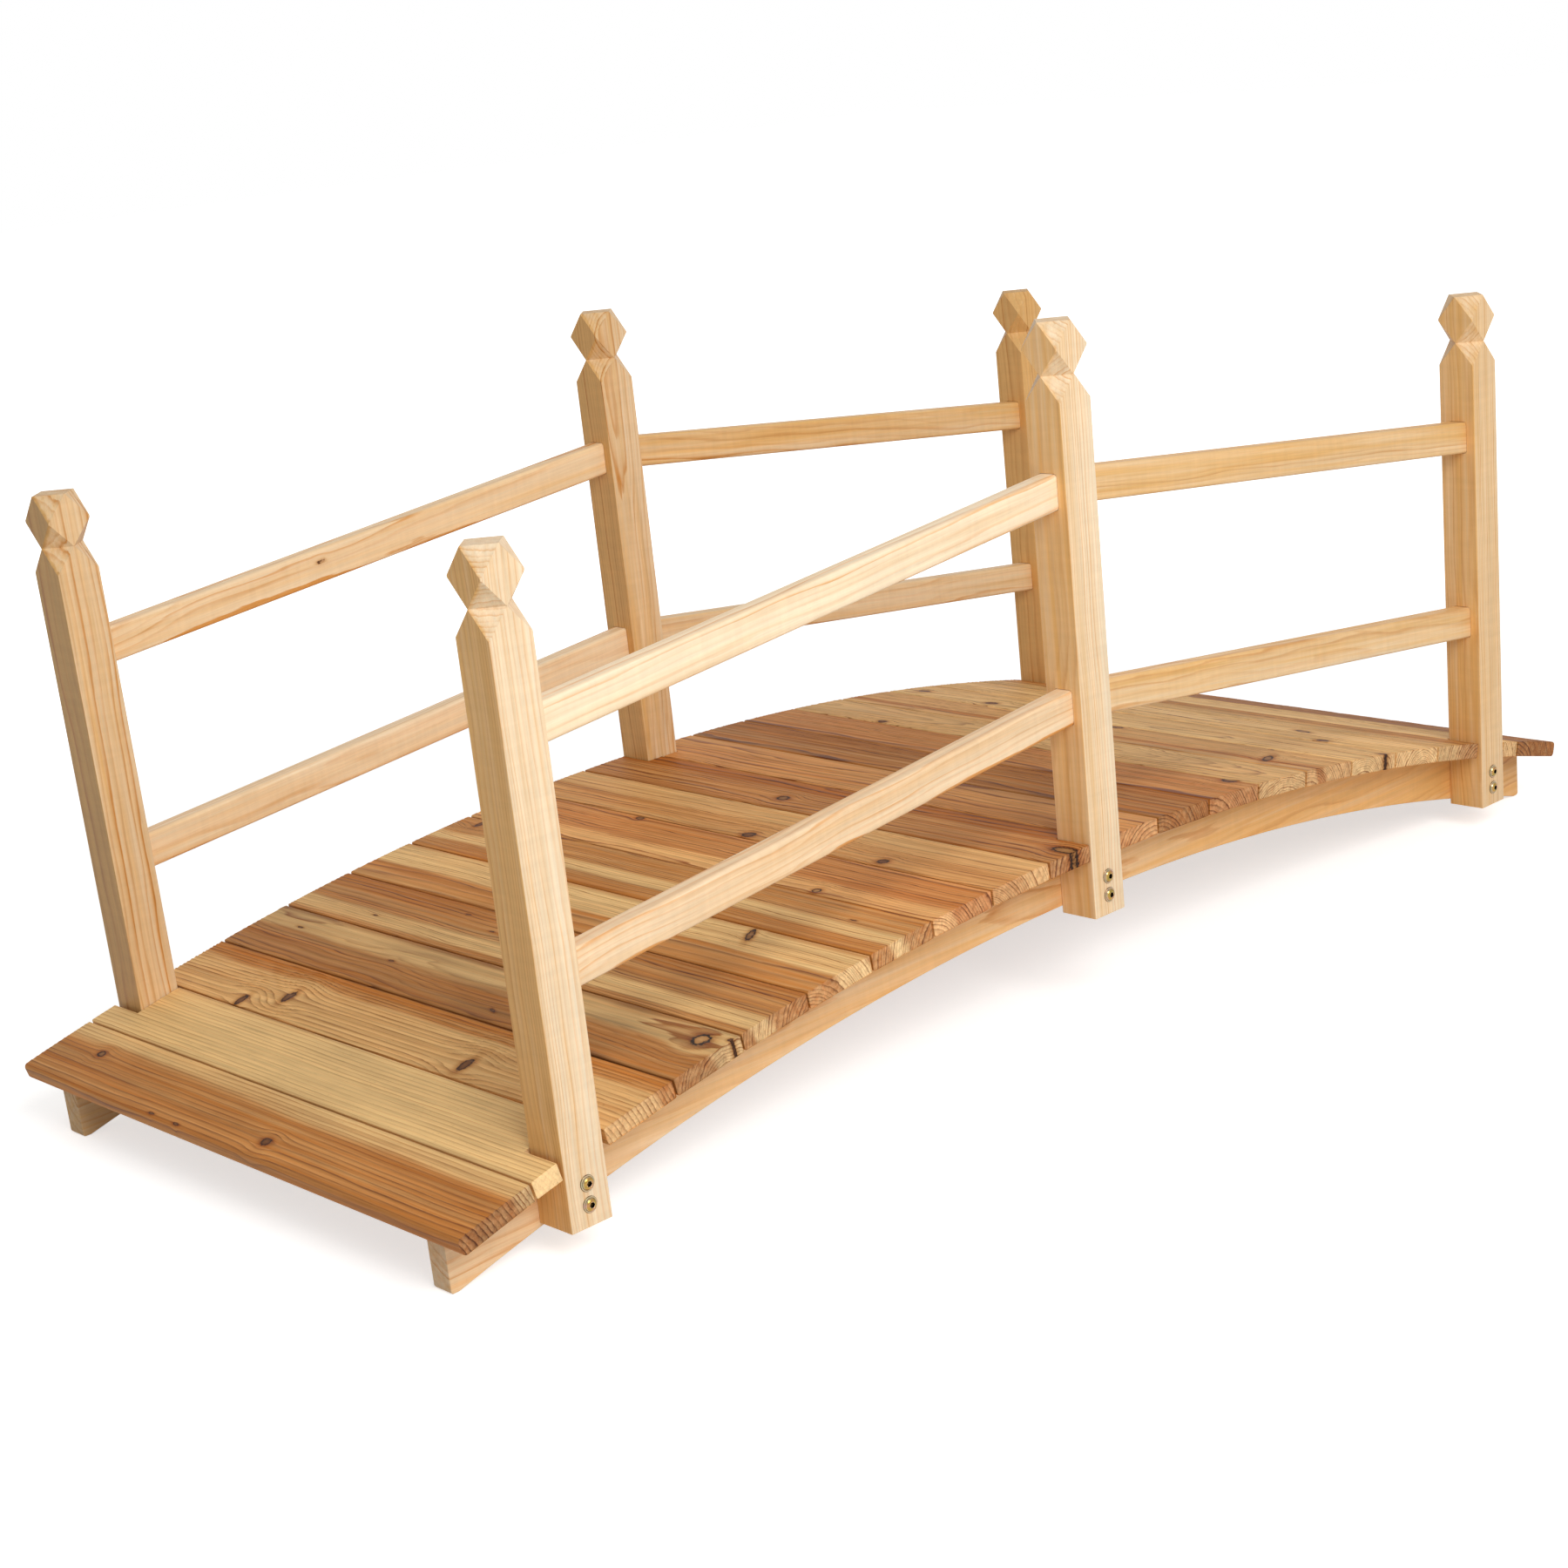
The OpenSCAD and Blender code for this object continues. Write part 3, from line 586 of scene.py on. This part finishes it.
# stringers, each sawn to its arch from one straight board
stringers = {
    "near": {"heart": [(-90, 0.65), (90, 0.9)], "heartAlong": 0.3, "ringGap": 8.0, "pith": (30, -40),
             "lean": (0.016, 0.0), "sway": 2.4, "tone": 0.1, "red": 0.28, "lines": 0.85},
    "far": {"heart": [(-90, 0.7), (90, 0.6)], "ringGap": 6.0, "pith": (-40, 30), "lean": (-0.01, 0.01),
            "sway": 1.6},
}
stringerShape = {"ease": 1.2, "endEase": 0.8, "stepAcross": 3.4, "stepAlong": 7.5, "endTone": -0.22,
                 "endSkin": 0.4, "boardMiddle": 80}
for sideName, look in stringers.items():
    half = np.array([stringerHalf, bridge["stringerThick"] / 2, bridge["stringerDepth"] / 2])
    along = easedLines(half[0], stringerShape["endEase"], stringerShape["stepAlong"])
    thick = easedLines(half[1], stringerShape["ease"], stringerShape["stepAcross"])
    depth = easedLines(half[2], stringerShape["ease"], stringerShape["stepAcross"])
    foot = half[0] - bridge["footLength"]
    tip = half[0] - bridge["footEase"]
    along = withLines(along, [-tip, -foot, foot, tip])
    keep = np.ones((len(along) - 1, len(thick) - 1, len(depth) - 1), dtype=bool)
    flat, quads = latticeSkin(along, thick, depth, keep)
    shaped = easeEdges(flat, half, (stringerShape["endEase"], stringerShape["ease"], stringerShape["ease"]))
    lowZ = np.maximum(archHeight + np.sqrt(lowRadius ** 2 - shaped[:, 0] ** 2), 0.0)
    lowZ = np.maximum(lowZ, np.abs(shaped[:, 0]) - half[0] + bridge["footEase"])
    topZ = archHeight + np.sqrt(bridge["archRadius"] ** 2 - shaped[:, 0] ** 2)
    z = lowZ + (topZ - lowZ) * (shaped[:, 2] + half[2]) / (2 * half[2])
    y = sideOf[sideName] * stringerY + shaped[:, 1]
    mesh = newMesh("stringer_" + sideName, np.stack([shaped[:, 0], y, z], 1), quads.tolist())
    local = np.stack([shaped[:, 0], z - stringerShape["boardMiddle"], sideOf[sideName] * -shaped[:, 1]], 1)
    fields = growBoard(local, look, seed)
    fields["heart"] += look.get("heartAlong", 0.0) * shaped[:, 0] / half[0]
    onEnd = np.abs(shaped[:, 0]) > half[0] - stringerShape["endSkin"]
    fields["tone"] += stringerShape["endTone"] * onEnd      # the end cuts have greyed
    finishBoard("stringer_" + sideName, mesh, local, fields, (1, 0, 0), seed, pinePlaned)
    seed += 1
print("stringers made")

# posts: the CAD's own solid with its crisp finial cuts, sliced fine enough to carry its grain
# heart runs heartier towards each post's −X face, partly the wood and partly painted shade; the two side keys
# paint shade onto that face, and near_middle's side tone paints light
posts = {
    "near_left": {"heart": [(-20, 0.3), (20, 0.1)], "paintedShadeHeart": 0.7, "ringGap": 2.2, "pith": (72, 66),
                  "sway": 0.7, "tone": -0.04, "even": 0.4, "lines": 0.85},
    "near_middle": {"heart": [(-20, 0.35), (20, 0.15)], "paintedShadeHeart": 0.45, "paintedLightShadeTone": 0.1, "ringGap": 3.6,
                    "pith": (120, 36), "lean": (-0.008, 0.01), "sway": 0.8, "tone": -0.03, "lines": 0.75},
    "near_right": {"heart": [(-20, 0.6), (20, 0.45)], "paintedShadeHeart": 0.3, "ringGap": 3.6, "pith": (-52, -20),
                   "lean": (0.006, 0.0), "sway": 0.8},
    "far_left": {"heart": [(-20, 0.65), (20, 0.4)], "paintedShadeHeart": 0.9, "paintedLightShadeTone": -0.24, "ringGap": 7.0,
                 "pith": (-110, -46), "lean": (0.012, 0.0), "sway": 0.8, "tone": -0.06, "lines": 1.3},
    "far_middle": {"heart": [(-20, 0.7), (20, 0.35)], "paintedShadeHeart": 0.9, "paintedLightShadeTone": -0.07, "ringGap": 4.2,
                   "pith": (-14, -40), "lean": (0.02, 0.015), "sway": 1.2, "tone": -0.05, "lines": 1.3},
    "far_right": {"heart": [(-20, 1.0), (20, 0.8)], "paintedShadeHeart": 0.5, "ringGap": 4.2, "pith": (36, -36),
                  "lean": (0.0, 0.012), "sway": 0.9, "tone": -0.06, "knots": [(120, 4, 8, "brown")]},
}
postShape = {"steps": {2: 9.0, 0: 2.5, 1: 2.5}, "weld": 0.00002, "flat": 1.0, "slice": 0.00001,
             "faceMargin": 0.3}
for key, look in posts.items():
    work = bmesh.new()
    work.from_mesh(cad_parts["post_" + key].data)
    bmesh.ops.remove_doubles(work, verts=work.verts, dist=postShape["weld"])
    flat = math.radians(postShape["flat"])
    bmesh.ops.dissolve_limit(work, angle_limit=flat, verts=work.verts, edges=work.edges)
    low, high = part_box("post_" + key)
    centre = (np.array(low) + np.array(high)) / 2
    for axis, step in postShape["steps"].items():        # up the post, then across it both ways
        normal = Vector([1.0 if i == axis else 0.0 for i in range(3)])
        count = int((high[axis] - low[axis]) / (step * mm))
        for cut in range(1, count):
            place = Vector(centre)
            place[axis] = low[axis] + (high[axis] - low[axis]) * cut / count
            bmesh.ops.bisect_plane(work, geom=work.verts[:] + work.edges[:] + work.faces[:],
                                   dist=postShape["slice"], plane_co=place, plane_no=normal)
    work.verts.index_update()
    points = np.array([point.co[:] for point in work.verts]) / mm
    faces = [[point.index for point in face.verts] for face in work.faces]
    work.free()
    mesh = newMesh("post_" + key, points, faces)
    offset = points - centre / mm
    local = np.stack([offset[:, 2], offset[:, 0], offset[:, 1]], 1)
    fields = growBoard(local, look, seed)
    paintedShadeFace = offset[:, 0] < postShape["faceMargin"] - bridge["postWidth"] / 2      # the −X face, which gets painted shade
    # painted shade: a warmer, heartier colour and a tone shift on the −X face only, standing in for the shade
    # on that side
    fields["heart"] += look["paintedShadeHeart"] * paintedShadeFace
    fields["tone"] += look.get("paintedLightShadeTone", 0.0) * paintedShadeFace
    finishBoard("post_" + key, mesh, local, fields, (0, 0, 1), seed, pinePlaned)
    seed += 1
print("posts made:", len(posts))

# Steel bolts and nuts, yellow zinc plated: a bright metal under a thin gold film that turns pink and green
# the plating's own grain is a few hundredths of a millimetre; its grit is drawn at 0.6 mm to show
# edge and socket are painted shade colours: the rim's painted dark reflection, and the shade in the recess
# and the socket
zinc = {"gold": "#B08C48", "green": "#8C8244", "pink": "#B27C5E", "edge": "#4E3C1A", "socket": "#3E3014",
        "patchMm": 5.0, "gritMm": 0.6, "gritBump": 0.15, "gritDeep": 0.00005, "rough": (0.12, 0.3)}
zincPlated = bpy.data.materials.new("steel yellow zinc plated")
zincPlated.use_nodes = True
tree = zincPlated.node_tree
tree.nodes.clear()
spot = addNode(tree, "ShaderNodeTexCoord").outputs["Object"]
film = addNode(tree, "ShaderNodeTexNoise", None,
               {"Vector": spot, "Scale": 1 / (zinc["patchMm"] * mm), "Detail": 2.0})
tint = addNode(tree, "ShaderNodeValToRGB", None, {0: film.outputs[0]},
               [(0.3, zinc["green"]), (0.5, zinc["gold"]), (0.68, zinc["pink"])])
wearAndPaintedShade = addNode(tree, "ShaderNodeAttribute", {"attribute_name": "paintedRimSocketShade"})     # painted dark reflection on the rim, painted shade in the recess and the socket
shade = addNode(tree, "ShaderNodeValToRGB", None, {0: wearAndPaintedShade.outputs["Fac"]},
                [(0.0, "#FFFFFF", 0.0), (0.5, zinc["edge"], 0.75), (1.0, zinc["socket"], 1.0)])
tint = addNode(tree, "ShaderNodeMix", {"data_type": "RGBA"},
               {0: shade.outputs[1], 6: tint.outputs[0], 7: shade.outputs[0]})
grit = addNode(tree, "ShaderNodeTexNoise", None,
               {"Vector": spot, "Scale": 1 / (zinc["gritMm"] * mm), "Detail": 3.0})
gritRough = addNode(tree, "ShaderNodeMapRange", None,
                    {0: grit.outputs[0], 3: zinc["rough"][0], 4: zinc["rough"][1]})
gritBump = addNode(tree, "ShaderNodeBump", None,
                   {"Strength": zinc["gritBump"], "Distance": zinc["gritDeep"], "Height": grit.outputs[0]})
shader = addNode(tree, "ShaderNodeBsdfPrincipled", None,
                 {"Base Color": tint.outputs[2], "Metallic": 1.0, "Roughness": gritRough.outputs[0],
                  "Normal": gritBump.outputs[0]})
addNode(tree, "ShaderNodeOutputMaterial", None, {"Surface": shader.outputs[0]})
for sideName in sideOf:
    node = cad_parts["nuts_" + sideName]
    node.data.materials.clear()
    node.data.materials.append(zincPlated)

# Turned bolts. Each head ring has its radius, its height and how much painted shade darkens it there, from
# the flange's edge to the socket's mouth: a painted dark reflection on the rim and painted shade in the
# recess under the dome.
bolt = {"around": 48, "headRings": [(6.8, 0.0, 0.7), (6.8, 0.5, 0.6), (6.6, 0.72, 0.4), (5.75, 0.95, 0.1),
                                    (5.45, 1.0, 0.7), (5.25, 1.35, 0.3), (4.7, 2.2, 0.0), (4.0, 2.75, 0.0),
                                    (3.2, 3.1, 0.0), (2.6, 3.2, 0.0)],
        "socketFlats": 4.4, "socketMouth": 3.05, "socketFloor": 0.9, "socketLip": 0.3, "drillPoint": 0.4,
        "tailStart": -66.0, "tailEnd": -71.0, "shank": 3.0, "thread": 0.3, "pitch": 1.0, "tipIn": 0.6,
        "tipLong": 0.1, "middle": 0.1, "spin": 0.7, "sharp": 32}


def turnedBolt():
    turns = np.arange(bolt["around"]) * 2 * math.pi / bolt["around"]
    fold = (turns + math.pi / 6) % (math.pi / 3) - math.pi / 6
    flats = bolt["socketFlats"] / 2 / np.cos(fold)
    rings = [(np.full(len(turns), r), z, dark) for r, z, dark in bolt["headRings"]]
    # the socket rings carry painted shade, darkest at the socket's floor
    rings += [(flats, bolt["socketMouth"], 0.3), (flats, bolt["socketMouth"] - bolt["socketLip"], 0.9),
              (flats, bolt["socketFloor"], 1.0),
              (flats * bolt["middle"], bolt["socketFloor"] - bolt["drillPoint"], 1.0)]
    headCount = len(rings)
    tail = [(bolt["shank"], 0.0), (bolt["shank"], bolt["tailStart"])]
    place = bolt["tailStart"]
    while place > bolt["tailEnd"]:
        tail += [(bolt["shank"] - bolt["thread"], place - bolt["pitch"] / 2),
                 (bolt["shank"], place - bolt["pitch"])]
        place -= bolt["pitch"]
    tip = place - bolt["tipLong"]
    tail += [(bolt["shank"] - bolt["tipIn"], tip), (bolt["middle"], tip)]
    rings += [(np.full(len(turns), r), z, 0.0) for r, z in tail]
    points = np.concatenate([np.stack([r * np.cos(turns), r * np.sin(turns), np.full(len(turns), z)], 1)
                             for r, z, dark in rings])
    shades = np.repeat([dark for r, z, dark in rings], bolt["around"])
    faces = []
    for k in range(len(rings) - 1):
        for i in range(bolt["around"]):
            j = (i + 1) % bolt["around"]
            quad = [k * bolt["around"] + i, k * bolt["around"] + j, (k + 1) * bolt["around"] + j,
                    (k + 1) * bolt["around"] + i]
            if k != headCount - 1:          # the head and the shank are two skins
                faces.append(quad if k < headCount else quad[::-1])
    return points, shades, np.array(faces)


boltPoints, boltShades, boltFaces = turnedBolt()
for sideName, side in sideOf.items():
    points = []
    faces = []
    for place, foot in ((-1, endFoot), (0, midFoot), (1, endFoot)):
        for height in (bridge["boltLow"], bridge["boltLow"] + bridge["boltPitch"]):
            turn = bolt["spin"] * place + height          # each bolt was left at its own angle
            spunX = boltPoints[:, 0] * math.cos(turn) - boltPoints[:, 1] * math.sin(turn)
            spunZ = boltPoints[:, 0] * math.sin(turn) + boltPoints[:, 1] * math.cos(turn)
            outer = side * (postY + bridge["postWidth"] / 2)
            faces.append(boltFaces + len(points) * len(boltPoints))
            points.append(np.stack([place * postX - side * spunX, outer + side * boltPoints[:, 2],
                                    foot + height + spunZ], 1))
    mesh = newMesh("bolts_" + sideName, np.concatenate(points), np.concatenate(faces).tolist())
    shades = np.tile(boltShades, len(points)).astype(np.float32)
    mesh.attributes.new("paintedRimSocketShade", "FLOAT", "POINT").data.foreach_set("value", shades)
    mesh.polygons.foreach_set("use_smooth", np.ones(len(mesh.polygons), dtype=bool))
    mesh.set_sharp_from_angle(angle=math.radians(bolt["sharp"]))
    mesh.materials.append(zincPlated)
    piece = bpy.data.objects.new("steel_bolts_" + sideName, mesh)
    scene.collection.objects.link(piece)
    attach(piece, "root")
    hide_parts("bolts_" + sideName)
print("bolts and nuts made")

# plain studio: pale floor, white world, one large soft lamp
studio = {"floorHalf": 14.0, "worldLevel": 0.42, "worldLean": 0.22, "lampPower": 66.0, "lampSize": 1.8,
          "lampPlace": (-0.9, -2.6, 2.2), "aim": (0.0, 0.0, 0.25), "shadowNear": 1.1, "shadowFar": 2.0,
          "floorDown": -0.0004, "floorLift": 0.63, "paper": "#E6E5E3"}
reach = studio["floorHalf"]
floorMesh = bpy.data.meshes.new("floor")
corners = [(reach * x, reach * y, studio["floorDown"]) for x, y in ((-1, -1), (1, -1), (1, 1), (-1, 1))]
floorMesh.from_pydata(corners, [], [(0, 1, 2, 3)])
floor = bpy.data.objects.new("floor", floorMesh)
scene.collection.objects.link(floor)
paper = bpy.data.materials.new("matt white paper sweep")
paper.use_nodes = True
tree = paper.node_tree
tree.nodes.clear()
path = addNode(tree, "ShaderNodeLightPath")
seen = addNode(tree, "ShaderNodeMath", {"operation": "MAXIMUM"},
               {0: path.outputs["Is Camera Ray"], 1: path.outputs["Is Glossy Ray"]})
seen = addNode(tree, "ShaderNodeMath", {"operation": "MAXIMUM"},
               {0: seen.outputs[0], 1: path.outputs["Is Transmission Ray"]})
lift = addNode(tree, "ShaderNodeMath", {"operation": "MULTIPLY"},
               {0: seen.outputs[0], 1: studio["floorLift"]})
spot = addNode(tree, "ShaderNodeTexCoord").outputs["Object"]
fromMiddle = addNode(tree, "ShaderNodeVectorMath", {"operation": "LENGTH"}, {0: spot})
away = addNode(tree, "ShaderNodeMapRange", None, {0: fromMiddle.outputs[1], 1: studio["shadowNear"],
                                                  2: studio["shadowFar"], 3: 0.0, 4: 1.0})
matt = addNode(tree, "ShaderNodeBsdfDiffuse", None, {"Color": linearColour(studio["paper"])})
glow = addNode(tree, "ShaderNodeEmission", None, {"Color": (1, 1, 1, 1), "Strength": lift.outputs[0]})
both = addNode(tree, "ShaderNodeAddShader", None, {0: matt.outputs[0], 1: glow.outputs[0]})
plain = addNode(tree, "ShaderNodeEmission", None, {"Color": (1, 1, 1, 1), "Strength": seen.outputs[0]})
far = addNode(tree, "ShaderNodeAddShader", None, {0: matt.outputs[0], 1: plain.outputs[0]})
sweep = addNode(tree, "ShaderNodeMixShader", None,
                {0: away.outputs[0], 1: both.outputs[0], 2: far.outputs[0]})
addNode(tree, "ShaderNodeOutputMaterial", None, {"Surface": sweep.outputs[0]})
floorMesh.materials.append(paper)

world = bpy.data.worlds.new("studio")
scene.world = world
world.use_nodes = True
tree = world.node_tree
tree.nodes.clear()
path = addNode(tree, "ShaderNodeLightPath")
seen = addNode(tree, "ShaderNodeMath", {"operation": "MAXIMUM"},
               {0: path.outputs["Is Camera Ray"], 1: path.outputs["Is Glossy Ray"]})
seen = addNode(tree, "ShaderNodeMath", {"operation": "MAXIMUM"},
               {0: seen.outputs[0], 1: path.outputs["Is Transmission Ray"]})
aim = addNode(tree, "ShaderNodeTexCoord").outputs["Generated"]
lean = addNode(tree, "ShaderNodeSeparateXYZ", None, {0: aim})     # the room is dimmer at the left
dim = addNode(tree, "ShaderNodeMath", {"operation": "MULTIPLY_ADD"},
              {0: lean.outputs[0], 1: studio["worldLevel"] * studio["worldLean"], 2: studio["worldLevel"]})
level = addNode(tree, "ShaderNodeMapRange", None, {0: seen.outputs[0], 3: dim.outputs[0], 4: 1.0})
sky = addNode(tree, "ShaderNodeBackground", None, {"Color": (1, 1, 1, 1), "Strength": level.outputs[0]})
addNode(tree, "ShaderNodeOutputWorld", None, {"Surface": sky.outputs[0]})

lampData = bpy.data.lights.new("softbox", "AREA")
lampData.energy = studio["lampPower"]
lampData.size = studio["lampSize"]
lamp = bpy.data.objects.new("softbox", lampData)
lamp.location = studio["lampPlace"]
lamp.rotation_euler = (Vector(studio["aim"]) - lamp.location).to_track_quat("-Z", "Y").to_euler()
scene.collection.objects.link(lamp)
scene.view_settings.view_transform = "Standard"

view = {"place": (-1.7623, -1.8825, 0.8927), "turn": (71.086, 5.326, -45.079), "lens": 63.13,
        "shift": (-0.0568, 0.0949), "sensor": 36.0}
cameraData = bpy.data.cameras.new("camera")
cameraData.lens = view["lens"]
cameraData.sensor_width = view["sensor"]
cameraData.shift_x, cameraData.shift_y = view["shift"]
camera = bpy.data.objects.new("camera", cameraData)
camera.location = view["place"]
camera.rotation_euler = [math.radians(a) for a in view["turn"]]
scene.collection.objects.link(camera)
scene.camera = camera
print("studio and camera set")
